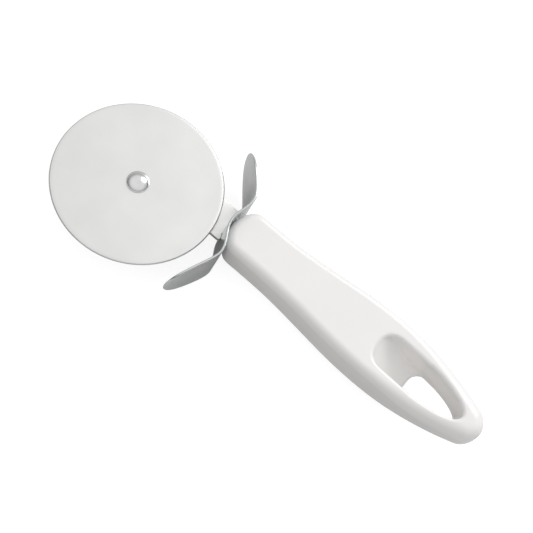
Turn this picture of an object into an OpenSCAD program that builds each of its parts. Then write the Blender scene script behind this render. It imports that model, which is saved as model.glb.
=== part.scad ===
// Pizza cutter: a free-spinning steel wheel riveted to a flat arm, a bent finger guard,
// and a moulded plastic handle with a scooped hanging hole.
// It lies flat: +Z is the wheel's axis, +X runs along the length towards the hanging hole,
// and the origin is the middle of the underside of the whole tool.

/* [Overall] */
// Length from the front of the wheel to the end of the handle
overall_len = 196; // [194:1:215]

/* [Wheel] */
// Diameter of the cutting wheel
wheel_d = 68; // [60:1:72]
// Thickness of the wheel's sheet
wheel_t = 1; // [0.8:0.1:1.2]
// Width of the ground bevel round each face of the wheel
bevel_w = 0.5; // [0.4:0.1:2]
// Distance of the wheel's centre from the handle's centreline
crank = 12; // [8:0.5:13]

/* [Rivet] */
// Diameter of the shoulder that the wheel turns on
shoulder_d = 5; // [4:0.1:6]
// Radial clearance between the wheel's bore and the shoulder
run_gap = 0.05; // [0.03:0.01:0.1]
// Clearance left beside the wheel along its axis, on each face
side_gap = 0.08; // [0.05:0.01:0.15]
// Diameter of the domed head
head_d = 9; // [8:0.5:11]
// Height of the domed head
head_h = 2.2; // [1.6:0.1:2.6]
// Diameter of the thin shank through the arm
shank_d = 3.6; // [3:0.1:3.8]
// Diameter of the upset tail behind the arm
tail_d = 7; // [6:0.5:8]
// Height of the upset tail
tail_h = 1.2; // [0.8:0.1:1.6]
// Diameter of the spacer washer behind the wheel
washer_d = 12; // [10:0.5:14]
// Thickness of the spacer washer
washer_t = 0.6; // [0.4:0.1:0.8]

/* [Arm] */
// Thickness of the arm's sheet
arm_t = 2; // [1.8:0.1:2.2]
// Width of the arm where it meets the guard
arm_w = 14.5; // [13:0.5:16]
// Radius of the arm's round end at the rivet
arm_eye_r = 8; // [7:0.5:9]
// Width of the tang inside the handle
tang_w = 9; // [7:0.5:10]
// Depth of the tang inside the handle
tang_len = 34; // [25:1:40]

/* [Finger guard] */
// Thickness of the guard's sheet
guard_t = 1; // [0.8:0.1:1.2]
// Width of the guard's strip, along the wheel's axis
guard_w = 24; // [23:0.5:26]
// Half of the span from wing tip to wing tip
guard_half = 33.1; // [32:0.1:34]
// How far the guard is turned from square to the handle
guard_turn = 9.8; // [7:0.1:11]
// How far the guard's strip leans, with its front edge towards the handle
guard_lean = 2.4; // [0:0.1:3]
// Depth of the dip where the guard hugs the handle
bow_depth = 3.1; // [2.8:0.1:3.5]
// Distance from the middle of the guard to each crest beside the dip
bow_half = 12.6; // [12:0.1:13]
// Slope at which the wings lean towards the wheel
wing_lean = 0.65; // [0.55:0.01:0.7]

/* [Handle] */
// Thickness of the handle at the bulge
handle_t = 17.2; // [16:0.1:18]
// Distance from the wheel's centre to the handle's nose, along the handle
nose_x = 37.9; // [37.6:0.1:40]
// Half width at the neck
neck_w = 10.3; // [9.8:0.1:11.5]
// Half width at the bulge
bulge_w = 14.2; // [13.5:0.1:15]
// Distance from the nose to the neck
neck_s = 18; // [16:0.5:21]
// Distance from the nose to the bulge
bulge_s = 74; // [70:1:76]
// Radius of the long rounded edges
edge_r = 3.5; // [3:0.5:6]

/* [Hanging hole] */
// Distance from the nose to the near end of the scoop
scoop_s = 71.5; // [70:0.5:74]
// Distance from the nose to the near side of the hole
hole_s = 91; // [90:0.5:93]
// Half width of the opening
hole_half = 7.3; // [6.5:0.1:7.6]
// Distance from the nose to the far end of the hole
hole_end_s = 113.6; // [112:0.1:114]

/* [Hidden] */
$fn = 96;
cut = 1;                        // how far a cutter runs past the face it cuts

// heights, from the guard's lower edge up
mid_z = guard_w / 2;            // middle plane of the arm, the guard and the handle
arm_top = mid_z + arm_t / 2;
arm_bottom = mid_z - arm_t / 2;
washer_top = arm_top + washer_t;
wheel_bottom = washer_top + side_gap;
wheel_top = wheel_bottom + wheel_t;
head_bottom = wheel_top + side_gap;
back_skim = 0.05;               // depth that the flat back is dressed down to one plane
front_h = 9;                    // height of the handle's front face above the middle plane, at the bulge
back_h = handle_t - front_h;    // depth of its flat back below the middle plane
back_z = mid_z - back_h + back_skim;

// the guard in its own frame: u runs from the wheel to the handle, v runs across
knee_r = 3.6;                   // softness of the bend between a crest and its wing
function wing_drop(s) = wing_lean * (sqrt(s * s + knee_r * knee_r) - knee_r);
function guard_u(v) = abs(v) < bow_half
    ? bow_depth * (1 - cos(180 * v / bow_half)) / 2
    : bow_depth - wing_drop(abs(v) - bow_half);
function guard_slope(v) = (guard_u(v + 0.01) - guard_u(v - 0.01)) / 0.02;
function leaf(v) = guard_w / 2 * sqrt(max(0, 1 - pow(abs(v) / guard_half, 6)));

// places along the length and across it, from the wheel's centre and the handle's centreline
nose_gap = 0.3;                 // room between the guard's dip and the handle's nose
guard_c = [nose_x - nose_gap - guard_t / 2, -2.7];      // middle of the guard's dip
tip_y = guard_c[1] + guard_half * cos(guard_turn) + guard_u(guard_half) * sin(guard_turn);
span_y = tip_y + crank + wheel_d / 2;        // width of the whole tool
wheel_x = -overall_len / 2 + wheel_d / 2;
handle_y = span_y / 2 - tip_y;
wheel_y = handle_y - crank;
handle_len = overall_len - wheel_d / 2 - nose_x;

// shape of the handle along its length, where s is the distance from the nose
nose_r = 12.5;                  // radius of the rounded nose, seen from above
nose_flare = 0.5;               // widening of the neck towards the nose
tail_w = 5.3;                   // half width that the handle tapers towards at its end
tail_power = 2.4;               // fullness of that taper
tail_cap = 4.8;                 // length of the rounded end, seen from above
nose_edge = 3.5;                // rounding of the nose's edges, seen from the side
tail_edge = 10;                 // rounding of the end's edges, seen from the side
opening_y = -0.7;               // how far the hole and the scoop lie off the centreline
neck_drop = 1.5;                // how much lower the front face is at the neck than at the bulge
front_drop = 1.8;               // how much lower the front face is near the end than at the bulge
back_rise = 1.2;                // how much the flat back rises near the end
thin_run = 40;                  // distance over which the handle thins past the bulge
tail_round = 2;                 // how much rounder the long edges get as the handle thins
function taper_w(s) = bulge_w - (bulge_w - tail_w) * pow((s - bulge_s) / (handle_len - bulge_s), tail_power);
function cap_w(s) = sqrt(max(0, 1 - pow(max(0, 1 - (handle_len - s) / tail_cap), 2)));
function waist_w(s) = neck_w + (bulge_w - neck_w) * (1 - cos(180 * (s - neck_s) / (bulge_s - neck_s))) / 2;
function side_w(s) = s < neck_s ? neck_w + nose_flare * pow(1 - s / neck_s, 2)
    : s < bulge_s ? waist_w(s) : taper_w(s);
function nose_w(s) = s < nose_r ? sqrt(nose_r * nose_r - pow(nose_r - s, 2)) : s;
function soft_min(a, b, k) = (a + b - sqrt(pow(a - b, 2) + k * k)) / 2;
function half_w(s) = max(0.3, soft_min(side_w(s), nose_w(s), 1.2) * cap_w(s));
function round_in(s, r) = s < r ? r - sqrt(r * r - pow(r - s, 2)) : 0;
function ramp(s, from, run) = step(max(0, min(1, (s - from) / run)));
function ends(s) = (1 - 0.8 * round_in(handle_len - s, tail_edge) / tail_edge) * (1 - round_in(s, nose_edge) / back_h);
function thin(s) = ramp(s, bulge_s, thin_run);
function front_at(s) = (front_h - neck_drop * (1 - ramp(s, neck_s, bulge_s - neck_s)) - front_drop * thin(s)) * ends(s);
function back_at(s) = (back_h - back_rise * thin(s)) * ends(s);

// one ring of points round the handle at distance s: a rounded rectangle
arc_n = 9;                      // steps in each rounded corner
ring_n = 4 * (arc_n + 1);
function corner(q) = [q == 0 || q == 3 ? 1 : -1, q < 2 ? 1 : -1];
function ring(s) =
    let (w = half_w(s), t = (front_at(s) + back_at(s)) / 2, rise = (front_at(s) - back_at(s)) / 2,
        r = min(edge_r + tail_round * thin(s), w, t) * 0.98)
    [for (q = [0:3], i = [0:arc_n])
        let (a = 90 * q + 90 * i / arc_n, c = corner(q))
        [s, c[0] * (w - r) + r * cos(a), c[1] * (t - r) + r * sin(a) + rise]];

// distances of the rings: close together at both ends
body_rings = 44;
nose_rings = [0.05, 0.3, 0.8, 1.5, 2.5, 3.7, 5, 6.5, 8, 10];
tail_rings = [8, 6, 4.5, 3.2, 2.2, 1.4, 0.8, 0.35, 0.08];
body_from = 12;
body_to = handle_len - 10;
rings = concat(nose_rings,
    [for (i = [0:body_rings]) body_from + (body_to - body_from) * i / body_rings],
    [for (d = tail_rings) handle_len - d]);

module cutting_wheel() {
    r = wheel_d / 2;
    land = wheel_t * 0.08;      // half thickness left at the very edge
    bore_r = shoulder_d / 2 + run_gap;
    z0 = wheel_t / 2;
    color("gainsboro") translate([wheel_x, wheel_y, wheel_bottom + wheel_t / 2])
        rotate_extrude($fn = 180)
            polygon([[bore_r, -z0], [r - bevel_w, -z0], [r, -land], [r, land], [r - bevel_w, z0], [bore_r, z0]]);
}

module axle_rivet() {
    dome_r = (pow(head_d / 2, 2) + head_h * head_h) / (2 * head_h);
    color("silver") translate([wheel_x, wheel_y, 0]) {
        translate([0, 0, head_bottom]) intersection() {
            translate([0, 0, head_h - dome_r]) sphere(r = dome_r);
            cylinder(h = head_h, d = head_d);
        }
        translate([0, 0, arm_top]) cylinder(h = head_bottom - arm_top, d = shoulder_d);
        translate([0, 0, arm_bottom]) cylinder(h = arm_t, d = shank_d);
        translate([0, 0, arm_bottom - tail_h]) cylinder(h = tail_h, d1 = tail_d * 0.72, d2 = tail_d);
    }
}

module spacer_washer() {
    color("lightgray") translate([wheel_x, wheel_y, arm_top]) difference() {
        cylinder(h = washer_t, d = washer_d);
        translate([0, 0, -cut]) cylinder(h = washer_t + 2 * cut, d = shoulder_d);
    }
}

// the guard's two faces seen from above, and its leaf outline seen along the tool
guard_steps = 84;
function guard_line(side) = [for (i = [0:guard_steps])
    let (v = -guard_half + 2 * guard_half * i / guard_steps, m = guard_slope(v), n = sqrt(1 + m * m))
    [guard_u(v) + side * guard_t / 2 / n, v - side * guard_t / 2 * m / n]];
leaf_steps = 60;
function leaf_line(side) = [for (i = [0:leaf_steps])
    let (v = -guard_half * cos(180 * i / leaf_steps)) [v, side * max(leaf(v), 0.4)]];
function reversed(list) = [for (i = [len(list) - 1:-1:0]) list[i]];
module guard_place(lean) {
    translate([guard_c[0], guard_c[1], 0]) rotate([0, lean, guard_turn]) children();
}

// the arm's outline, from the rivet to the guard: an easy S that steps across by the crank
arm_bend = 27;                  // distance over which the arm steps across
arm_offset = -0.4;              // where the arm's middle meets the guard
arm_end = nose_x + 2;           // the outline runs past the guard, which then trims it
arm_steps = 20;
function step(t) = t * t * (3 - 2 * t);
function arm_mid(x) = -crank + (crank + arm_offset) * step(min(1, x / arm_bend));
function arm_half(x) = arm_eye_r + (arm_w / 2 - arm_eye_r) * step(min(1, x / arm_bend));
function arm_edge(side) = [for (i = [0:arm_steps]) let (x = arm_end * i / arm_steps)
    [x, arm_mid(x) + side * arm_half(x)]];

module arm() {
    seat_gap = 0.1;             // room between the arm's shoulders and the guard
    color("silver") translate([wheel_x, handle_y, arm_bottom]) difference() {
        union() {
            linear_extrude(arm_t) difference() {
                polygon(concat(reversed(arm_edge(1)), arm_edge(-1)));
                guard_place(0) translate([-seat_gap, 0])
                    polygon(concat(guard_line(-1), [[arm_end, guard_half], [arm_end, -guard_half]]));
            }
            translate([0, -crank, 0]) cylinder(h = arm_t, r = arm_eye_r);
            translate([guard_c[0] - 3, -tang_w / 2, 0])
                cube([nose_x + tang_len - guard_c[0] + 3, tang_w, arm_t]);
        }
        translate([0, -crank, -cut]) cylinder(h = arm_t + 2 * cut, d = shank_d);
    }
}

module finger_guard() {
    slot_gap = 0.1;             // room round the tang in the guard's slot
    reach = 40;                 // how far the cutters run fore and aft
    color("lightslategray") difference() {
        translate([wheel_x, handle_y, mid_z]) guard_place(guard_lean) intersection() {
            linear_extrude(guard_w, center = true) polygon(concat(guard_line(-1), reversed(guard_line(1))));
            translate([-reach / 2, 0, 0]) rotate([90, 0, 90])
                linear_extrude(reach) polygon(concat(leaf_line(-1), reversed(leaf_line(1))));
        }
        translate([wheel_x + guard_c[0] - reach / 2, handle_y - tang_w / 2 - slot_gap, arm_bottom - slot_gap])
            cube([reach, tang_w + 2 * slot_gap, arm_t + 2 * slot_gap]);
    }
}

// the outer form of the handle, before anything is cut into it
module handle_form() {
    last = len(rings) - 1;
    points = [for (s = rings) each ring(s)];
    sides = [for (k = [0:last - 1], i = [0:ring_n - 1])
        let (j = (i + 1) % ring_n, a = k * ring_n, b = a + ring_n) [a + i, a + j, b + j, b + i]];
    nose_cap = [for (i = [ring_n - 1:-1:0]) i];
    tail_cap = [for (i = [0:ring_n - 1]) last * ring_n + i];
    polyhedron(points, concat([nose_cap], sides, [tail_cap]), convexity = 4);
}

// outline of the whole opening in the front face, and of the hole that goes right through
module opening_outline(from_s, corner_radius) {
    taper_s = 86;               // where the opening starts to narrow towards its far end
    steps = 16;
    taper_run = hole_end_s - taper_s;
    taper = [for (side = [-1, 1], i = [0:steps])
        let (a = 90 * i / steps) [taper_s + taper_run * sin(a), side * hole_half * cos(a)]];
    hull() {
        for (side = [-1, 1])
            translate([from_s + corner_radius, side * (hole_half - corner_radius)]) circle(r = corner_radius, $fn = 32);
        polygon(taper);
    }
}

// the hole that goes right through, a little wider at the back
module through_hole() {
    hole_corner = 5;
    hole_flare = 0.6;           // how much further out each wall lies by the back face
    sheet = 0.01;
    hull() {
        translate([0, 0, front_h + cut]) linear_extrude(sheet) opening_outline(hole_s, hole_corner);
        translate([0, 0, -back_h - cut]) linear_extrude(sheet) offset(delta = hole_flare)
            opening_outline(hole_s, hole_corner);
    }
}

module scoop() {
    ramp_r = 40;                // radius of the hollow ramp, seen from the side
    ramp_end = [hole_s + 2, 2.5 - back_h];      // where the ramp would meet the middle of the hole
    dx = ramp_end[0] - scoop_s;
    dz = front_h - ramp_end[1];
    chord = sqrt(dx * dx + dz * dz);
    lift = sqrt(ramp_r * ramp_r - chord * chord / 4);
    intersection() {
        translate([0, 0, -back_h]) linear_extrude(handle_t + cut) opening_outline(scoop_s, hole_half - 0.1);
        translate([(scoop_s + ramp_end[0]) / 2 + lift * dz / chord, 0, (front_h + ramp_end[1]) / 2 + lift * dx / chord])
            rotate([90, 0, 0]) cylinder(h = 4 * hole_half, r = ramp_r, center = true, $fn = 180);
    }
}

module handle() {
    color("white") translate([wheel_x + nose_x, handle_y, mid_z]) difference() {
        handle_form();
        translate([0, opening_y, 0]) through_hole();
        translate([0, opening_y, 0]) scoop();
        translate([-cut, -tang_w / 2, -arm_t / 2]) cube([tang_len + cut, tang_w, arm_t]);
        translate([-cut, -2 * bulge_w, back_z - mid_z - handle_t]) cube([overall_len, 4 * bulge_w, handle_t]);
    }
}

cutting_wheel();
axle_rivet();
spacer_washer();
arm();
finger_guard();
handle();
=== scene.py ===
import math

import bmesh
import bpy
import numpy as np
from mathutils import Matrix, Vector


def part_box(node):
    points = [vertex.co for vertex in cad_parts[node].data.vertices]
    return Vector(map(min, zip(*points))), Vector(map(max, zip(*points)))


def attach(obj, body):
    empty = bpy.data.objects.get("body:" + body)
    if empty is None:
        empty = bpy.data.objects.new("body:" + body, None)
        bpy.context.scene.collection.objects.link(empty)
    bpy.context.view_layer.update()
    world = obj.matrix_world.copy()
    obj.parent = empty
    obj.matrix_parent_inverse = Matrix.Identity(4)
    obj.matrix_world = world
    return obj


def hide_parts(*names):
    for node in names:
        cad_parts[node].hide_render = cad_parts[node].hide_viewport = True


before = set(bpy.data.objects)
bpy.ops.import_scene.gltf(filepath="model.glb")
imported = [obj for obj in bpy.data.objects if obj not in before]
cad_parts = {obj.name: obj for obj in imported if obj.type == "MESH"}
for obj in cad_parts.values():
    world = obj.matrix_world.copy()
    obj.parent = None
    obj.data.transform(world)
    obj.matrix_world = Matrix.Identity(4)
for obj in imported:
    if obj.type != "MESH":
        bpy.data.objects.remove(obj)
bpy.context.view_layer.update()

MM = 0.001

# ---------------------------------------------------------------- places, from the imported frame, in mm


def box_mm(node):
    low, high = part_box(node)
    return np.array(low) / MM, np.array(high) / MM


wheel_low, wheel_high = box_mm("cutting_wheel")
washer_low, washer_high = box_mm("spacer_washer")
rivet_low, rivet_high = box_mm("axle_rivet")
arm_low, arm_high = box_mm("arm")
guard_low = box_mm("finger_guard")[0]
handle_low, handle_high = box_mm("handle")

AXLE = np.array([(wheel_low[0] + wheel_high[0]) / 2, (wheel_low[1] + wheel_high[1]) / 2])
WHEEL_R = (wheel_high[0] - wheel_low[0]) / 2
HANDLE_Y = (handle_low[1] + handle_high[1]) / 2
NOSE_X = handle_low[0]
HANDLE_LEN = handle_high[0] - handle_low[0] + 0.1
MID_Z = (arm_low[2] + arm_high[2]) / 2
FRONT_H = handle_high[2] - MID_Z
BACK_H = MID_Z - handle_low[2] + 0.05
CRANK = HANDLE_Y - AXLE[1]

# ---------------------------------------------------------------- small helpers


def new_piece(name, mesh, body, material, replaces=(), place=(0, 0, 0)):
    """A piece of the object from a mesh in mm, whose local origin is at place."""
    mesh.transform(Matrix.Diagonal((MM, MM, MM, 1)))
    piece = bpy.data.objects.new(name, mesh)
    bpy.context.scene.collection.objects.link(piece)
    piece.location = Vector(place) * MM
    piece.data.materials.append(material)
    for face in mesh.polygons:
        face.use_smooth = True
    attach(piece, body)
    if replaces:
        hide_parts(*replaces)
    return piece


def apply_modifiers(piece):
    bpy.context.view_layer.update()
    graph = bpy.context.evaluated_depsgraph_get()
    done = bpy.data.meshes.new_from_object(piece.evaluated_get(graph))
    piece.modifiers.clear()
    piece.data = done


def step(t):
    return t * t * (3 - 2 * t)


# ---------------------------------------------------------------- lathe, for what is turned


def lathe(name, profile, segments=192):
    """A closed turned solid from (radius, height) points in order round its section."""
    bm = bmesh.new()
    rings = []
    for k in range(segments):
        a = 2 * math.pi * k / segments
        rings.append([bm.verts.new((r * math.cos(a), r * math.sin(a), z)) for r, z in profile])
    for k in range(segments):
        one, two = rings[k], rings[(k + 1) % segments]
        for i in range(len(profile)):
            j = (i + 1) % len(profile)
            bm.faces.new((one[i], one[j], two[j], two[i]))
    bmesh.ops.remove_doubles(bm, verts=bm.verts, dist=1e-5)
    bmesh.ops.recalc_face_normals(bm, faces=bm.faces)
    mesh = bpy.data.meshes.new(name)
    bm.to_mesh(mesh)
    bm.free()
    return mesh


def fillet(a, corner, b, radius, steps=5):
    """Points that round a corner between a and b."""
    a, c, b = (np.array(p, float) for p in (a, corner, b))
    ua, ub = (a - c) / np.linalg.norm(a - c), (b - c) / np.linalg.norm(b - c)
    half = math.acos(max(-1, min(1, float(ua @ ub)))) / 2
    reach = min(radius / math.tan(half), 0.49 * np.linalg.norm(a - c), 0.49 * np.linalg.norm(b - c))
    p, q = c + ua * reach, c + ub * reach
    return [tuple((1 - t) ** 2 * p + 2 * t * (1 - t) * c + t * t * q) for t in np.linspace(0, 1, steps)]


def rounded(profile, radii):
    """A closed profile with each corner rounded by its own radius, where 0 keeps it sharp."""
    out = []
    for i, (corner, radius) in enumerate(zip(profile, radii)):
        if radius == 0:
            out.append(corner)
        else:
            out += fillet(profile[i - 1], corner, profile[(i + 1) % len(profile)], radius)
    return out


def build_wheel(material):
    bore_r, bevel, half, land = 2.55, 0.5, (wheel_high[2] - wheel_low[2]) / 2, 0.08
    flat = WHEEL_R - bevel
    rows = np.linspace(bore_r + 0.2, flat, 24)
    top = [(r, half) for r in rows]
    bottom = [(r, -half) for r in rows[::-1]]
    edge = [(WHEEL_R - 0.25, 0.22), (WHEEL_R - 0.04, land), (WHEEL_R, 0)]
    edge += [(r, -z) for r, z in edge[1::-1]]
    bore = [(bore_r + 0.06, -half + 0.06), (bore_r, -half + 0.2)]
    bore += [(r, -z) for r, z in bore[::-1]]
    rim = [(flat + 0.08, half - 0.02)] + edge + [(flat + 0.08, -half + 0.02)]
    mesh = lathe("wheel_disc", top + rim + bottom + bore, 256)
    z = (wheel_low[2] + wheel_high[2]) / 2
    return new_piece("wheel_disc", mesh, "wheel", material, ["cutting_wheel"], (*AXLE, z))


def build_rivet(material):
    head_r, head_h, shoulder_r, shank_r, tail_r = 4.5, 2.2, 2.5, 1.8, 3.5
    head_low = rivet_high[2] - head_h
    ball = (head_r ** 2 + head_h ** 2) / (2 * head_h)
    rim = math.asin((head_r - 0.12) / ball)
    dome = [(ball * math.sin(a), rivet_high[2] - ball * (1 - math.cos(a))) for a in np.linspace(0, rim, 22)]
    lip = [(head_r, head_low + 0.16), (head_r - 0.03, head_low + 0.05), (head_r - 0.12, head_low)]
    shank = [(shoulder_r, head_low), (shoulder_r, arm_high[2]), (shank_r, arm_high[2]), (shank_r, arm_low[2])]
    tail = [(tail_r, arm_low[2]), (tail_r, arm_low[2] - 0.3), (tail_r * 0.93, arm_low[2] - 0.7),
            (tail_r * 0.72, rivet_low[2] + 0.08), (tail_r * 0.5, rivet_low[2]), (0, rivet_low[2] + 0.15)]
    mesh = lathe("rivet", dome + lip + shank + tail, 96)
    return new_piece("rivet", mesh, "grip", material, ["axle_rivet"], (*AXLE, 0))


def build_washer(material):
    inner, outer, high = 2.5, (washer_high[0] - washer_low[0]) / 2, washer_high[2] - washer_low[2]
    ring = rounded([(inner, 0), (outer, 0), (outer, high), (inner, high)], [0.1, 0.2, 0.2, 0.1])
    mesh = lathe("washer", ring, 96)
    place = (*AXLE, washer_low[2])
    return new_piece("washer", mesh, "grip", material, ["spacer_washer"], place)


# ---------------------------------------------------------------- the guard's line, shared by guard and arm

GUARD_T, GUARD_W, GUARD_HALF = 1.0, 24.0, 33.1
GUARD_TURN, GUARD_LEAN = math.radians(9.8), math.radians(2.4)
BOW_DEPTH, BOW_HALF, WING_LEAN, KNEE = 3.1, 12.6, 0.65, 3.6
GUARD_C = np.array([NOSE_X - 0.3 - GUARD_T / 2, HANDLE_Y - 2.7])


def guard_u(v):
    """The guard's middle line: distance towards the handle, at v across. It dips in the middle."""
    a = np.abs(v)
    dip = BOW_DEPTH * (1 - np.cos(math.pi * a / BOW_HALF)) / 2
    wing = BOW_DEPTH - WING_LEAN * (np.hypot(np.maximum(a - BOW_HALF, 0), KNEE) - KNEE)
    return np.where(a < BOW_HALF, dip, wing)


def guard_slope(v, h=0.02):
    return (guard_u(v + h) - guard_u(v - h)) / (2 * h)


# ---------------------------------------------------------------- solids from distance rules


def round_join(a, ga, b, gb, r):
    """Where both a and b are negative, with the edge between them rounded by r."""
    u, v = np.maximum(a + r, 0), np.maximum(b + r, 0)
    length = np.sqrt(u * u + v * v)
    outside = length > 1e-9
    value = length + np.minimum(np.maximum(a, b) + r, 0) - r
    safe = np.where(outside, length, 1)[..., None]
    nearer = np.where((a > b)[..., None], ga, gb)
    blended = (u[..., None] * ga + v[..., None] * gb) / safe
    slope = np.where(outside[..., None], blended, nearer)
    return value, slope


def soft_union(a, ga, b, gb, k):
    """The union of a and b with a soft crease of width k."""
    h = np.clip(0.5 + 0.5 * (b - a) / k, 0, 1)
    value = b + (a - b) * h - k * h * (1 - h)
    return value, h[..., None] * ga + (1 - h)[..., None] * gb


def surface_net(rule, low, high, pitch, name, rounds=4):
    """A closed quad mesh of the surface where rule is 0, with every vertex moved onto it."""
    axes = [np.arange(lo - pitch, hi + 2 * pitch, pitch) for lo, hi in zip(low, high)]
    grid = np.stack(np.meshgrid(*axes, indexing="ij"), -1)
    inside = rule(grid.reshape(-1, 3))[0].reshape(grid.shape[:3]) < 0
    nx, ny, nz = (n - 1 for n in inside.shape)
    corners = [(i, j, k) for i in (0, 1) for j in (0, 1) for k in (0, 1)]
    count = sum(inside[i:nx + i, j:ny + j, k:nz + k].astype(int) for i, j, k in corners)
    cell = (count > 0) & (count < 8)
    number = np.full(cell.shape, -1)
    number[cell] = np.arange(cell.sum())
    points = np.stack(np.nonzero(cell), -1) * pitch + np.array([a[0] for a in axes]) + pitch / 2
    quads = []
    for axis in range(3):
        p, q = [d for d in range(3) if d != axis]
        here = np.moveaxis(inside, (axis, p, q), (0, 1, 2))
        cells = np.moveaxis(number, (axis, p, q), (0, 1, 2))
        crossing = here[:-1, 1:-1, 1:-1] != here[1:, 1:-1, 1:-1]
        x, y, z = np.nonzero(crossing)
        ring = np.stack([cells[x, y, z], cells[x, y + 1, z], cells[x, y + 1, z + 1], cells[x, y, z + 1]], -1)
        flip = here[:-1, 1:-1, 1:-1][x, y, z] == (axis != 1)
        ring[~flip] = ring[~flip][:, ::-1]
        quads.append(ring)
    quads = np.concatenate(quads)
    edges = np.concatenate([quads[:, [0, 1]], quads[:, [1, 2]], quads[:, [2, 3]], quads[:, [3, 0]]])
    ends = np.concatenate([edges, edges[:, ::-1]])
    degree = np.bincount(ends[:, 0], minlength=len(points))[:, None]

    def settle(pts, times):
        for _ in range(times):
            value, slope = rule(pts)
            size = np.maximum((slope ** 2).sum(-1), 1e-6)
            pts = pts - np.clip(value / size, -pitch, pitch)[:, None] * slope
        return pts

    points = settle(points, 3)
    for _ in range(rounds):
        total = np.stack([np.bincount(ends[:, 0], points[ends[:, 1], d], len(points)) for d in range(3)], -1)
        points = settle(points + 0.6 * (total / degree - points), 2)
    mesh = bpy.data.meshes.new(name)
    mesh.from_pydata(points.tolist(), [], quads.tolist())
    mesh.validate()
    bm = bmesh.new()
    bm.from_mesh(mesh)
    bmesh.ops.recalc_face_normals(bm, faces=bm.faces)
    bm.to_mesh(mesh)
    bm.free()
    return mesh


class PlanField:
    """Distance to a symmetric outline seen from above, negative inside, from a fine table of it."""

    PITCH = 0.25
    MARGIN = 3.0

    def __init__(self, edge, half_width):
        """edge holds the outline's points on its positive side, and half_width(s) its half width at s."""
        self.low = np.array([edge[:, 0].min() - self.MARGIN, 0.0])
        self.size = np.array([np.ptp(edge[:, 0]) + 2 * self.MARGIN, edge[:, 1].max() + self.MARGIN])
        s = self.low[0] + np.arange(0, self.size[0], self.PITCH)
        y = np.arange(0, self.size[1], self.PITCH)
        grid = np.stack(np.meshgrid(s, y, indexing="ij"), -1)
        start, run = edge[:-1], edge[1:] - edge[:-1]
        length = np.maximum((run ** 2).sum(-1), 1e-12)
        gap = np.empty(grid.shape[:2])
        for row, points in enumerate(grid):
            t = np.clip(((points[:, None] - start) * run).sum(-1) / length, 0, 1)
            foot = start + t[..., None] * run
            gap[row] = ((points[:, None] - foot) ** 2).sum(-1).min(1)
        inside = y[None, :] < half_width(s)[:, None]
        self.value = np.sqrt(gap) * np.where(inside, -1, 1)
        self.slope = np.gradient(self.value, self.PITCH)

    def __call__(self, points):
        """Distance at each point and its direction in space."""
        at = np.stack([points[:, 0], np.abs(points[:, 1])], -1)
        cell = (at - self.low) / self.PITCH
        cell = np.clip(cell, 0, np.array(self.value.shape) - 1.001)
        i, j = cell.astype(int).T
        u, v = (cell - cell.astype(int)).T

        def read(table):
            return ((1 - u) * (1 - v) * table[i, j] + u * (1 - v) * table[i + 1, j]
                    + (1 - u) * v * table[i, j + 1] + u * v * table[i + 1, j + 1])

        side = np.where(points[:, 1] < 0, -1, 1)
        away = np.stack([read(self.slope[0]), read(self.slope[1]) * side, 0 * u], -1)
        return read(self.value), away


# ---------------------------------------------------------------- handle

NOSE_R, NECK_W, BULGE_W, NECK_S, BULGE_S = 12.5, 10.3, 14.2, 18.0, 74.0
TAIL_W, TAIL_POWER, TAIL_CAP = 5.3, 2.4, 4.8
EDGE_R, TAIL_ROUND = 3.5, 2.0
NECK_DROP, FRONT_DROP, BACK_RISE, THIN_RUN = 1.5, 1.8, 1.2, 40.0
SCOOP_S, HOLE_S, TAPER_S, HOLE_END = 71.5, 91.0, 86.0, 113.6
HOLE_HALF, HOLE_CORNER, HOLE_FLARE, OPENING_Y = 7.3, 5.0, 0.6, -0.7
RAMP_R, RAMP_LIP, RAMP_PAST = 40.0, 2.5, 2.0
RIM_R, CREASE = 1.4, 1.4


def soft_min(a, b, k):
    return (a + b - np.sqrt((a - b) ** 2 + k * k)) / 2


def handle_half(s):
    """Half width of the handle at distance s from its nose."""
    along = np.clip((s - NECK_S) / (BULGE_S - NECK_S), 0, 1)
    waist = NECK_W + (BULGE_W - NECK_W) * (1 - np.cos(math.pi * along)) / 2
    flare = 0.5 * np.clip(1 - s / NECK_S, 0, 1) ** 2
    tail = np.clip((s - BULGE_S) / (HANDLE_LEN - BULGE_S), 0, 1)
    side = np.where(s < BULGE_S, waist + flare, BULGE_W - (BULGE_W - TAIL_W) * tail ** TAIL_POWER)
    nose = np.where(s < NOSE_R, np.sqrt(np.maximum(0, NOSE_R ** 2 - (NOSE_R - s) ** 2)), s)
    cap = np.sqrt(np.maximum(0, 1 - np.maximum(0, 1 - (HANDLE_LEN - s) / TAIL_CAP) ** 2))
    soft = soft_min(side, nose, 1.2) * cap
    return np.where((s <= 0) | (s >= HANDLE_LEN), 0, np.maximum(soft, 0))


def opening_half(s, from_s, corner_r):
    """Half width at s of an opening with a rounded near end and a tapered far end."""
    centre = from_s + corner_r
    near = HOLE_HALF - corner_r + np.sqrt(np.maximum(0, corner_r ** 2 - np.maximum(0, centre - s) ** 2))
    far = HOLE_HALF * np.sqrt(np.maximum(0, 1 - (np.maximum(0, s - TAPER_S) / (HOLE_END - TAPER_S)) ** 2))
    return np.where((s <= from_s) | (s >= HOLE_END), 0, np.minimum(near, far))


def scoop_half(s):
    return opening_half(s, SCOOP_S, HOLE_HALF - 0.1)


def hole_half(s):
    return opening_half(s, HOLE_S, HOLE_CORNER)


def thinning(s):
    return step(np.clip((s - BULGE_S) / THIN_RUN, 0, 1))


def front_height(s):
    """Height of the front face above the middle plane."""
    neck = 1 - step(np.clip((s - NECK_S) / (BULGE_S - NECK_S), 0, 1))
    return FRONT_H - NECK_DROP * neck - FRONT_DROP * thinning(s)


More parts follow.
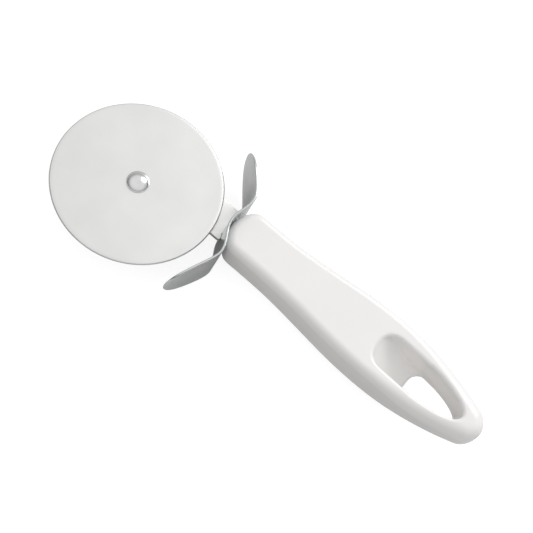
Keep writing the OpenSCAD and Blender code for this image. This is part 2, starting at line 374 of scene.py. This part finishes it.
def edge_points(half, start, end, count=420):
    """Points along the positive side of an outline, crowded at both ends."""
    t = np.linspace(0, 1, count)
    s = start + (end - start) * (1 - np.cos(math.pi * t)) / 2
    return np.stack([s, half(s)], -1)


def handle_rule():
    body = PlanField(edge_points(handle_half, 0, HANDLE_LEN, 500), handle_half)
    scoop = PlanField(edge_points(scoop_half, SCOOP_S, HOLE_END, 300), scoop_half)
    hole = PlanField(edge_points(hole_half, HOLE_S, HOLE_END, 300), hole_half)
    flare = HOLE_FLARE / (FRONT_H + BACK_H)
    ramp_end = np.array([HOLE_S + RAMP_PAST, RAMP_LIP - BACK_H])
    run, fall = ramp_end[0] - SCOOP_S, FRONT_H - ramp_end[1]
    chord = math.hypot(run, fall)
    lift = math.sqrt(RAMP_R ** 2 - chord ** 2 / 4)
    ramp_c = (np.array([SCOOP_S, FRONT_H]) + ramp_end) / 2 + np.array([fall, run]) * lift / chord

    def rule(p):
        s, z = p[:, 0], p[:, 2]
        plan, plan_dir = body(p)
        top = z - front_height(s)
        bottom = -z - BACK_H + BACK_RISE * thinning(s)
        slab = np.maximum(top, bottom)
        up = np.where(top > bottom, 1.0, -1.0)
        slab_dir = np.stack([np.zeros_like(z), np.zeros_like(z), up], -1)
        form, form_dir = round_join(plan, plan_dir, slab, slab_dir, EDGE_R + TAIL_ROUND * thinning(s))
        opening = p - np.array([0, OPENING_Y, 0])
        wide, wide_dir = scoop(opening)
        deep, deep_dir = hole(opening)
        deep = deep - flare * (FRONT_H - z)
        deep_dir = deep_dir + np.array([0, 0, flare])
        off = p[:, [0, 2]] - ramp_c
        reach = np.linalg.norm(off, axis=-1)
        ramp_dir = np.stack([off[:, 0], np.zeros_like(reach), off[:, 1]], -1) / reach[:, None]
        dish, dish_dir = round_join(wide, wide_dir, reach - RAMP_R, ramp_dir, CREASE)
        void, void_dir = soft_union(dish, dish_dir, deep, deep_dir, 1.5)
        return round_join(form, form_dir, -void, -void_dir, RIM_R)

    return rule


def build_handle(material):
    low = (0, handle_low[1] - HANDLE_Y, -BACK_H)
    high = (HANDLE_LEN, handle_high[1] - HANDLE_Y, FRONT_H)
    mesh = surface_net(handle_rule(), low, high, 0.55, "handle_grip")
    place = (NOSE_X, HANDLE_Y, MID_Z)
    return new_piece("handle_grip", mesh, "grip", material, ["handle"], place)


# ---------------------------------------------------------------- finger guard


def guard_rule():
    slot_half, slot_high, edge_round = 4.6, 1.1, 0.42
    leaf_power = 6

    def rule(p):
        u, v, h = p[:, 0], p[:, 1], p[:, 2]
        zero = np.zeros_like(u)
        slope = guard_slope(v)
        stretch = np.sqrt(1 + slope ** 2)
        side = (u - guard_u(v)) / stretch
        sign = np.where(side < 0, -1.0, 1.0)
        sheet_dir = np.stack([sign / stretch, -sign * slope / stretch, zero], -1)
        # leaf outline of the strip, scaled so that it is close to a distance near the edge
        a, b = np.maximum(np.abs(v), 1e-3) / GUARD_HALF, h / (GUARD_W / 2)
        leaf = a ** leaf_power + b ** 2 - 1
        leaf_v = leaf_power * a ** (leaf_power - 1) / GUARD_HALF * np.sign(v)
        grad = np.stack([zero, leaf_v, 2 * b / (GUARD_W / 2)], -1)
        size = np.maximum(np.linalg.norm(grad, axis=-1), 0.02)
        sheet = np.abs(side) - GUARD_T / 2
        form, form_dir = round_join(sheet, sheet_dir, leaf / size, grad / size[:, None], edge_round)
        # slot for the tang, whose middle lies on the handle's centreline
        across = v * math.cos(GUARD_TURN) + u * math.sin(GUARD_TURN) + GUARD_C[1] - HANDLE_Y
        wide = np.abs(across) - slot_half
        tall = np.abs(h) - slot_high
        wide_sign = np.sign(across)
        wide_dir = np.stack([wide_sign * math.sin(GUARD_TURN), wide_sign * math.cos(GUARD_TURN), zero], -1)
        tall_dir = np.stack([zero, zero, np.sign(h)], -1)
        slot, slot_dir = round_join(wide, wide_dir, tall, tall_dir, 0.3)
        return round_join(form, form_dir, -slot, -slot_dir, 0.15)

    return rule


def build_guard(material):
    reach = GUARD_HALF + 0.5
    low = (guard_u(GUARD_HALF) - 1.2, -reach, -GUARD_W / 2)
    high = (BOW_DEPTH + 1.2, reach, GUARD_W / 2)
    mesh = surface_net(guard_rule(), low, high, 0.33, "guard_blade", 3)
    turn = Matrix.Rotation(GUARD_TURN, 4, "Z") @ Matrix.Rotation(GUARD_LEAN, 4, "Y")
    mesh.transform(turn)
    place = (*GUARD_C, MID_Z)
    return new_piece("guard_blade", mesh, "grip", material, ["finger_guard"], place)


# ---------------------------------------------------------------- arm


def build_arm(material):
    eye_r, half_w, bend, offset, tang_half = 8.0, 7.25, 27.0, -0.4, 4.5
    tang_end = arm_high[0] - AXLE[0]
    front = GUARD_C - np.array([AXLE[0], HANDLE_Y])
    thick = arm_high[2] - arm_low[2]

    def middle(x):
        return -CRANK + (CRANK + offset) * step(min(1, x / bend))

    def half(x):
        return eye_r + (half_w - eye_r) * step(min(1, x / bend))

    def shoulder_x(y):
        """Where the guard's front face lies at y across, less a small gap."""
        v = (y - front[1]) * math.cos(GUARD_TURN)
        for _ in range(6):
            u = float(guard_u(v)) - GUARD_T / 2
            v = (y - front[1] - u * math.sin(GUARD_TURN)) / math.cos(GUARD_TURN)
        return front[0] + u * math.cos(GUARD_TURN) - v * math.sin(GUARD_TURN) - 0.15

    def shoulder(side):
        """From the arm's edge in to the tang, along the guard, with a rounded corner."""
        outer = offset + side * half_w
        corner = (shoulder_x(outer), outer)
        inward = outer - side * 3
        turn = fillet((corner[0] - 6, outer), corner, (shoulder_x(inward), inward), 1.6)
        inner = [(shoulder_x(y), y) for y in np.linspace(outer - side * 2.2, side * (tang_half + 0.2), 4)]
        return turn + inner + [(shoulder_x(side * tang_half) + 0.4, side * tang_half)]

    upper = [(x, middle(x) + half(x)) for x in np.linspace(0, 31, 26)][1:]
    lower = [(x, middle(x) - half(x)) for x in np.linspace(0, 31, 26)][1:]
    tang = fillet((20, tang_half), (tang_end, tang_half), (tang_end, -tang_half), 1.5)
    tang += fillet((tang_end, tang_half), (tang_end, -tang_half), (20, -tang_half), 1.5)
    sweep = np.linspace(1.5 * math.pi, 0.5 * math.pi, 30)
    eye = [(eye_r * math.cos(a), -CRANK + eye_r * math.sin(a)) for a in sweep]
    loop = upper + shoulder(1) + tang + shoulder(-1)[::-1] + lower[::-1] + eye
    bm = bmesh.new()
    face = bm.faces.new([bm.verts.new((x, y, 0)) for x, y in loop])
    top = bmesh.ops.extrude_face_region(bm, geom=[face])["geom"]
    bmesh.ops.translate(bm, verts=[g for g in top if isinstance(g, bmesh.types.BMVert)], vec=(0, 0, thick))
    bmesh.ops.recalc_face_normals(bm, faces=bm.faces)
    mesh = bpy.data.meshes.new("arm_plate")
    bm.to_mesh(mesh)
    bm.free()
    place = (AXLE[0], HANDLE_Y, arm_low[2])
    piece = new_piece("arm_plate", mesh, "grip", material, ["arm"], place)
    bevel = piece.modifiers.new("edges", "BEVEL")
    bevel.width = 0.22 * MM
    bevel.segments = 3
    bevel.limit_method = "ANGLE"
    bevel.angle_limit = math.radians(50)
    apply_modifiers(piece)
    piece.data.set_sharp_from_angle(angle=math.radians(35))
    return piece


# ---------------------------------------------------------------- materials


class Nodes:
    """Short names for building one material's nodes."""

    def __init__(self, name):
        self.material = bpy.data.materials.new(name)
        self.material.use_nodes = True
        self.tree = self.material.node_tree
        self.shader = self.tree.nodes["Principled BSDF"]
        self.place = self.add("ShaderNodeTexCoord").outputs["Object"]

    def add(self, kind, **settings):
        node = self.tree.nodes.new(kind)
        for key, value in settings.items():
            setattr(node, key, value)
        return node

    def link(self, source, target):
        self.tree.links.new(source, target)

    def math(self, operation, a, b=None):
        node = self.add("ShaderNodeMath", operation=operation)
        for socket, value in zip(node.inputs, (a, b)):
            if isinstance(value, (int, float)):
                socket.default_value = value
            elif value is not None:
                self.link(value, socket)
        return node.outputs[0]

    def stretched(self, scale, rotation=(0, 0, 0)):
        node = self.add("ShaderNodeMapping")
        node.inputs["Scale"].default_value = scale
        node.inputs["Rotation"].default_value = rotation
        self.link(self.place, node.inputs["Vector"])
        return node.outputs["Vector"]

    def noise(self, vector, scale, detail=3.0, roughness=0.5):
        node = self.add("ShaderNodeTexNoise")
        node.inputs["Scale"].default_value = scale
        node.inputs["Detail"].default_value = detail
        node.inputs["Roughness"].default_value = roughness
        self.link(vector, node.inputs["Vector"])
        return node.outputs["Fac"]

    def range(self, value, low, high):
        node = self.add("ShaderNodeMapRange")
        node.inputs["To Min"].default_value = low
        node.inputs["To Max"].default_value = high
        self.link(value, node.inputs["Value"])
        return node.outputs["Result"]

    def tint(self, value, dark, light):
        node = self.add("ShaderNodeValToRGB")
        node.color_ramp.elements[0].color = (*dark, 1)
        node.color_ramp.elements[0].position = 0.3
        node.color_ramp.elements[1].color = (*light, 1)
        node.color_ramp.elements[1].position = 0.7
        self.link(value, node.inputs["Fac"])
        self.link(node.outputs["Color"], self.shader.inputs["Base Color"])

    def bump(self, height, distance, strength=1.0):
        node = self.add("ShaderNodeBump")
        node.inputs["Distance"].default_value = distance
        node.inputs["Strength"].default_value = strength
        self.link(height, node.inputs["Height"])
        self.link(node.outputs["Normal"], self.shader.inputs["Normal"])


def wheel_material():
    """Satin sheet steel, ground in faint circles."""
    n = Nodes("wheel_satin_steel")
    n.shader.inputs["Metallic"].default_value = 1.0
    split = n.add("ShaderNodeSeparateXYZ")
    n.link(n.place, split.inputs[0])
    x, y = split.outputs["X"], split.outputs["Y"]
    radius = n.math("SQRT", n.math("ADD", n.math("MULTIPLY", x, x), n.math("MULTIPLY", y, y)))
    rings = n.add("ShaderNodeCombineXYZ")
    n.link(n.math("MULTIPLY", radius, 3000), rings.inputs["X"])
    fine = n.noise(rings.outputs[0], 1.0, 2.0)
    cloud = n.noise(n.place, 55, 2.0)
    n.tint(cloud, (0.755, 0.748, 0.737), (0.79, 0.783, 0.772))
    n.link(n.range(n.math("ADD", n.math("MULTIPLY", fine, 0.4), n.math("MULTIPLY", cloud, 0.6)), 0.36, 0.46),
           n.shader.inputs["Roughness"])
    n.bump(fine, 0.000004, 0.5)
    return n.material


def rivet_material():
    """Polished steel with a few fine scuffs."""
    n = Nodes("rivet_polished_steel")
    n.shader.inputs["Metallic"].default_value = 1.0
    scuff = n.noise(n.stretched((400, 2500, 400), (0, 0, 0.6)), 1.0, 3.0)
    cloud = n.noise(n.place, 400, 2.0)
    n.tint(cloud, (0.74, 0.745, 0.74), (0.80, 0.80, 0.795))
    n.link(n.range(scuff, 0.12, 0.24), n.shader.inputs["Roughness"])
    n.bump(cloud, 0.00001, 0.3)
    return n.material


def arm_material():
    """Satin sheet steel, rolled along its length."""
    n = Nodes("arm_satin_steel")
    n.shader.inputs["Metallic"].default_value = 1.0
    grain = n.noise(n.stretched((120, 3500, 600)), 1.0, 3.0)
    cloud = n.noise(n.place, 90, 2.0)
    n.tint(cloud, (0.80, 0.80, 0.775), (0.85, 0.85, 0.825))
    n.link(n.range(grain, 0.30, 0.44), n.shader.inputs["Roughness"])
    n.bump(grain, 0.000005, 0.4)
    return n.material


def guard_material():
    """Bright sheet steel with the faint grain of the rolled strip."""
    n = Nodes("guard_bright_steel")
    n.shader.inputs["Metallic"].default_value = 1.0
    grain = n.noise(n.stretched((300, 150, 3000)), 1.0, 3.0)
    cloud = n.noise(n.place, 130, 2.0)
    n.tint(cloud, (0.62, 0.65, 0.655), (0.70, 0.725, 0.725))
    n.link(n.range(grain, 0.16, 0.28), n.shader.inputs["Roughness"])
    n.bump(cloud, 0.00002, 0.3)
    return n.material


def handle_material():
    """Glossy warm white plastic with the slight ripple of a moulding."""
    n = Nodes("handle_gloss_plastic")
    n.shader.inputs["IOR"].default_value = 1.5
    n.shader.inputs["Subsurface Weight"].default_value = 0.05
    n.shader.inputs["Subsurface Radius"].default_value = (1.0, 0.9, 0.8)
    n.shader.inputs["Subsurface Scale"].default_value = 0.002
    cloud = n.noise(n.place, 45, 2.0)
    fine = n.noise(n.place, 900, 2.0)
    n.tint(cloud, (0.845, 0.83, 0.815), (0.865, 0.85, 0.835))
    n.link(n.range(fine, 0.14, 0.22), n.shader.inputs["Roughness"])
    n.bump(cloud, 0.00006, 0.25)
    return n.material


def table_material():
    """A matt grey table top, which the metal mirrors and which lights the tool from below."""
    n = Nodes("table_grey")
    n.shader.inputs["Roughness"].default_value = 0.8
    n.tint(n.noise(n.place, 3, 2.0), (0.66, 0.65, 0.64), (0.70, 0.69, 0.68))
    return n.material


def backdrop_material():
    """The lit white sheet that the camera sees the tool against."""
    n = Nodes("backdrop_white")
    n.shader.inputs["Roughness"].default_value = 0.8
    n.shader.inputs["Emission Color"].default_value = (1, 1, 1, 1)
    n.shader.inputs["Emission Strength"].default_value = 0.85
    n.tint(n.noise(n.place, 3, 2.0), (0.27, 0.27, 0.27), (0.30, 0.30, 0.30))
    return n.material


# ---------------------------------------------------------------- stage, light and camera


def plane(name, size, material):
    bm = bmesh.new()
    bmesh.ops.create_grid(bm, x_segments=8, y_segments=8, size=size / 2)
    mesh = bpy.data.meshes.new(name)
    bm.to_mesh(mesh)
    bm.free()
    item = bpy.data.objects.new(name, mesh)
    item.data.materials.append(material)
    bpy.context.scene.collection.objects.link(item)
    return item


def area_light(name, place, target, size, power):
    light = bpy.data.lights.new(name, "AREA")
    light.shape = "DISK"
    light.energy = power
    light.size = size
    item = bpy.data.objects.new(name, light)
    item.location = place
    item.rotation_euler = (Vector(target) - Vector(place)).to_track_quat("-Z", "Y").to_euler()
    bpy.context.scene.collection.objects.link(item)
    return item


def build_world():
    """A studio that is bright overhead, fair behind the tool and dim low in front of it."""
    overhead, front, behind = 0.89, 0.04, 0.50
    world = bpy.data.worlds.new("studio")
    bpy.context.scene.world = world
    world.use_nodes = True
    tree = world.node_tree
    new, link = tree.nodes.new, tree.links.new
    split = new("ShaderNodeSeparateXYZ")
    link(new("ShaderNodeTexCoord").outputs["Generated"], split.inputs[0])
    low = new("ShaderNodeMapRange")
    low.inputs["From Min"].default_value, low.inputs["From Max"].default_value = -0.9, 0.9
    low.inputs["To Min"].default_value, low.inputs["To Max"].default_value = front, behind
    link(split.outputs["Y"], low.inputs["Value"])
    high = new("ShaderNodeMapRange")
    high.interpolation_type = "SMOOTHSTEP"
    high.inputs["From Min"].default_value, high.inputs["From Max"].default_value = 0.05, 0.7
    link(split.outputs["Z"], high.inputs["Value"])
    mix = new("ShaderNodeMix")
    link(high.outputs["Result"], mix.inputs["Factor"])
    link(low.outputs["Result"], mix.inputs["A"])
    mix.inputs["B"].default_value = overhead
    background = tree.nodes["Background"]
    background.inputs["Color"].default_value = (0.99, 0.995, 1.0, 1)
    link(mix.outputs["Result"], background.inputs["Strength"])


def build_camera():
    azimuth, elevation, roll = math.radians(10.54), math.radians(65.87), math.radians(30.7)
    target, distance = Vector((AXLE[0] + 58.46, AXLE[1] + 9.11, MID_Z)) * MM, 0.5405
    level_x, level_y = math.sin(azimuth) * math.cos(elevation), -math.cos(azimuth) * math.cos(elevation)
    back = Vector((level_x, level_y, math.sin(elevation)))
    camera = bpy.data.objects.new("camera", bpy.data.cameras.new("camera"))
    camera.data.lens = 94.56
    camera.data.sensor_width = 36
    camera.data.clip_start = 0.01
    camera.location = target + back * distance
    level = back.to_track_quat("Z", "Y")
    camera.rotation_mode = "QUATERNION"
    camera.rotation_quaternion = level @ Matrix.Rotation(roll, 3, "Z").to_quaternion()
    bpy.context.scene.collection.objects.link(camera)
    bpy.context.scene.camera = camera


def build_floor():
    """A pale floor in two sheets: one that the camera sees, and one that lights the tool from below."""
    seen = plane("floor_seen", 20.0, backdrop_material())
    seen.visible_diffuse = False
    seen.visible_glossy = False
    seen.visible_shadow = False
    table = plane("floor_table", 20.0, table_material())
    table.visible_camera = False
    for sheet in (seen, table):
        sheet.location.z = (guard_low[2] - (0.2 if sheet is seen else 1.2)) * MM


def build_stage():
    build_floor()
    area_light("key", (0.20, 1.0, 0.66), (0, 0, 0), 0.8, 6.3)
    build_world()
    build_camera()
    bpy.context.scene.view_settings.view_transform = "Standard"


build_stage()
build_wheel(wheel_material())
bright = rivet_material()
build_rivet(bright)
build_washer(bright)
build_arm(arm_material())
build_guard(guard_material())
build_handle(handle_material())
